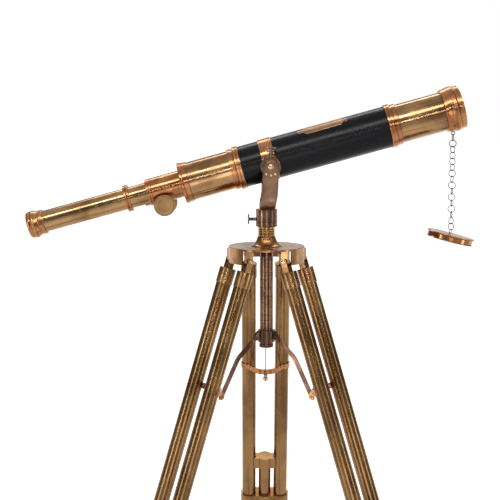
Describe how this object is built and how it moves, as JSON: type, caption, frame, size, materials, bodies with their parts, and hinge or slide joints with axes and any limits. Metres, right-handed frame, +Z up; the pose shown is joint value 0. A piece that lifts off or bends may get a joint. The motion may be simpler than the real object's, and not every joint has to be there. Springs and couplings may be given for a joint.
{
  "type": "telescope on tripod",
  "caption": "Draw-tube brass spyglass in a tilting fork on a floor-standing tripod with paired upper legs, folding braces and a chained dust cap.",
  "frame": {"origin": "on the floor, on the tripod's vertical axis", "axes": "+Z up, +X towards the objective, -Y towards the side with the tilt-lock screw"},
  "size_m": [0.9854, 0.7719, 1.6292],
  "materials": {
    "antique_brass": "antique brass with a dark patina",
    "copper_brass": "reddish polished brass with a worn patina",
    "hub_brass": "brushed antique brass",
    "leg_brass": "antique brass, drawn tube",
    "dark_bronze": "dark bronzed brass",
    "bright_screws": "polished slotted screws",
    "black_covering": "smooth satin black covering",
    "chain_metal": "dark oxidised wire",
    "optical_glass": "coated optical glass",
    "black_rubber": "moulded rubber"
  },
  "bodies": {
    "root": {"hub_plate": "hub_brass", "hub_neck": "antique_brass", "socket": "dark_bronze", "centre_column": "dark_bronze", "hinge_bolts": "bright_screws"},
    "fork": {"fork": "dark_bronze", "fork_drums": "dark_bronze", "arm_screws": "bright_screws"},
    "spyglass": {"main_tube": "antique_brass", "barrel_sleeve": "black_covering", "tube_rings": "copper_brass", "rear_flange": "copper_brass", "objective_cell": "copper_brass", "objective_lens": "optical_glass", "focus_body": "copper_brass", "pinion_housing": "antique_brass", "nameplate": "copper_brass", "small_screws": "bright_screws", "clamp_band": "copper_brass", "pivot_screws": "bright_screws", "chain_eye": "chain_metal"},
    "draw": {"draw_tube": "antique_brass", "focus_rack": "antique_brass", "eyepiece_collar": "copper_brass", "eyepiece_tube": "antique_brass", "eyecup": "copper_brass", "draw_lenses": "optical_glass"},
    "pinion": {"pinion_shaft": "antique_brass", "focus_knobs": "copper_brass"},
    "tilt_lock": {"tilt_lock_screw": "dark_bronze"},
    "pan_lock": {"pan_lock_screw": "dark_bronze"},
    "spider": {"spider": "dark_bronze"},
    "back_leg": {"back_leg_tubes": "leg_brass", "back_leg_ferrules": "leg_brass", "back_leg_band": "dark_bronze", "back_leg_clamp": "leg_brass"},
    "back_lower_leg": {"back_leg_slider": "leg_brass", "back_leg_foot": "black_rubber"},
    "back_leg_lock": {"back_leg_lock_screw": "dark_bronze"},
    "back_brace": {"back_brace": "dark_bronze"},
    "left_leg": {"left_leg_tubes": "leg_brass", "left_leg_ferrules": "leg_brass", "left_leg_band": "dark_bronze", "left_leg_clamp": "leg_brass"},
    "left_lower_leg": {"left_leg_slider": "leg_brass", "left_leg_foot": "black_rubber"},
    "left_leg_lock": {"left_leg_lock_screw": "dark_bronze"},
    "left_brace": {"left_brace": "dark_bronze"},
    "right_leg": {"right_leg_tubes": "leg_brass", "right_leg_ferrules": "leg_brass", "right_leg_band": "dark_bronze", "right_leg_clamp": "leg_brass"},
    "right_lower_leg": {"right_leg_slider": "leg_brass", "right_leg_foot": "black_rubber"},
    "right_leg_lock": {"right_leg_lock_screw": "dark_bronze"},
    "right_brace": {"right_brace": "dark_bronze"},
    "chain_upper": {"chain_upper": "chain_metal"},
    "chain_middle": {"chain_middle": "chain_metal"},
    "chain_lower": {"chain_lower": "chain_metal"},
    "dust_cap": {"dust_cap": "copper_brass"}
  },
  "joints": [
    {"name": "pan_turn", "type": "hinge", "parent": "root", "child": "fork", "pos_m": [0, 0, 1.323], "axis": [0, 0, 1], "continuous": true},
    {"name": "tube_tilt", "type": "hinge", "parent": "fork", "child": "spyglass", "pos_m": [0.008, 0, 1.457], "axis": [0, -1, 0], "range_deg": [-35, 32]},
    {"name": "focus_slide", "type": "slide", "parent": "spyglass", "child": "draw", "axis": [-0.9641, 0, -0.2656], "range_m": [-0.036, 0.025]},
    {"name": "pinion_turn", "type": "hinge", "parent": "spyglass", "child": "pinion", "pos_m": [-0.22089, 0, 1.37217], "axis": [0, 1, 0], "range_deg": [-192, 276]},
    {"name": "tilt_lock_turn", "type": "hinge", "parent": "fork", "child": "tilt_lock", "pos_m": [0.008, -0.0528, 1.4795], "axis": [0, 0, 1], "range_deg": [0, 120]},
    {"name": "pan_lock_turn", "type": "hinge", "parent": "root", "child": "pan_lock", "pos_m": [-0.0238, 0, 1.33913], "axis": [-1, 0, 0], "range_deg": [0, 180]},
    {"name": "back_leg_fold", "type": "hinge", "parent": "root", "child": "back_leg", "pos_m": [0, 0.068, 1.253], "axis": [-1, 0, 0], "range_deg": [0, 17]},
    {"name": "left_leg_fold", "type": "hinge", "parent": "root", "child": "left_leg", "pos_m": [-0.05889, -0.034, 1.253], "axis": [0.5, -0.866, 0], "range_deg": [0, 17.05]},
    {"name": "right_leg_fold", "type": "hinge", "parent": "root", "child": "right_leg", "pos_m": [0.05889, -0.034, 1.253], "axis": [0.5, 0.866, 0], "range_deg": [0, 17.05]},
    {"name": "spider_slide", "type": "slide", "parent": "root", "child": "spider", "axis": [0, 0, 1], "range_m": [0, 0.03044]},
    {"name": "back_brace_swing", "type": "hinge", "parent": "spider", "child": "back_brace", "pos_m": [0, 0.0273, 1.076], "axis": [-1, 0, 0], "range_deg": [0, 36.95]},
    {"name": "left_brace_swing", "type": "hinge", "parent": "spider", "child": "left_brace", "pos_m": [-0.02364, -0.01365, 1.076], "axis": [0.5, -0.866, 0], "range_deg": [0, 36.95]},
    {"name": "right_brace_swing", "type": "hinge", "parent": "spider", "child": "right_brace", "pos_m": [0.02364, -0.01365, 1.076], "axis": [0.5, 0.866, 0], "range_deg": [0, 36.95]},
    {"name": "back_leg_slide", "type": "slide", "parent": "back_leg", "child": "back_lower_leg", "axis": [0, -0.3173, 0.9483], "range_m": [-0.05, 0.4]},
    {"name": "left_leg_slide", "type": "slide", "parent": "left_leg", "child": "left_lower_leg", "axis": [0.2748, 0.1587, 0.9483], "range_m": [-0.05, 0.4]},
    {"name": "right_leg_slide", "type": "slide", "parent": "right_leg", "child": "right_lower_leg", "axis": [-0.2748, 0.1587, 0.9483], "range_m": [-0.05, 0.4]},
    {"name": "back_lock_turn", "type": "hinge", "parent": "back_leg", "child": "back_leg_lock", "pos_m": [0, 0.30653, 0.60943], "axis": [0, 0.9483, 0.3173], "range_deg": [0, 180]},
    {"name": "left_lock_turn", "type": "hinge", "parent": "left_leg", "child": "left_leg_lock", "pos_m": [-0.26547, -0.15327, 0.60943], "axis": [-0.8213, -0.4742, 0.3173], "range_deg": [0, 180]},
    {"name": "right_lock_turn", "type": "hinge", "parent": "right_leg", "child": "right_leg_lock", "pos_m": [0.26547, -0.15327, 0.60943], "axis": [0.8213, -0.4742, 0.3173], "range_deg": [0, 180]},
    {"name": "chain_upper_swing", "type": "hinge", "parent": "spyglass", "child": "chain_upper", "pos_m": [0.40549, 0, 1.52306], "axis": [-1, 0, 0], "range_deg": [-25, 25]},
    {"name": "chain_middle_swing", "type": "hinge", "parent": "chain_upper", "child": "chain_middle", "pos_m": [0.40549, 0, 1.45806], "axis": [-0.6691, 0.7431, 0], "range_deg": [-25, 25]},
    {"name": "chain_lower_swing", "type": "hinge", "parent": "chain_middle", "child": "chain_lower", "pos_m": [0.40549, 0, 1.36706], "axis": [0, -1, 0], "range_deg": [-25, 25]},
    {"name": "cap_swing", "type": "hinge", "parent": "chain_lower", "child": "dust_cap", "pos_m": [0.40549, 0, 1.31506], "axis": [0.6428, -0.766, 0], "range_deg": [-30, 30]}
  ],
  "couplings": [
    {"joint": "pinion_turn", "follows": "focus_slide", "rad_per_m": -133.33},
    {"joint": "left_leg_fold", "follows": "back_leg_fold", "ratio": 1},
    {"joint": "right_leg_fold", "follows": "back_leg_fold", "ratio": 1},
    {"joint": "spider_slide", "follows": "back_leg_fold", "m_per_rad": 0.10227},
    {"joint": "back_brace_swing", "follows": "back_leg_fold", "ratio": 2.1705},
    {"joint": "left_brace_swing", "follows": "back_leg_fold", "ratio": 2.1705},
    {"joint": "right_brace_swing", "follows": "back_leg_fold", "ratio": 2.1705}
  ]
}
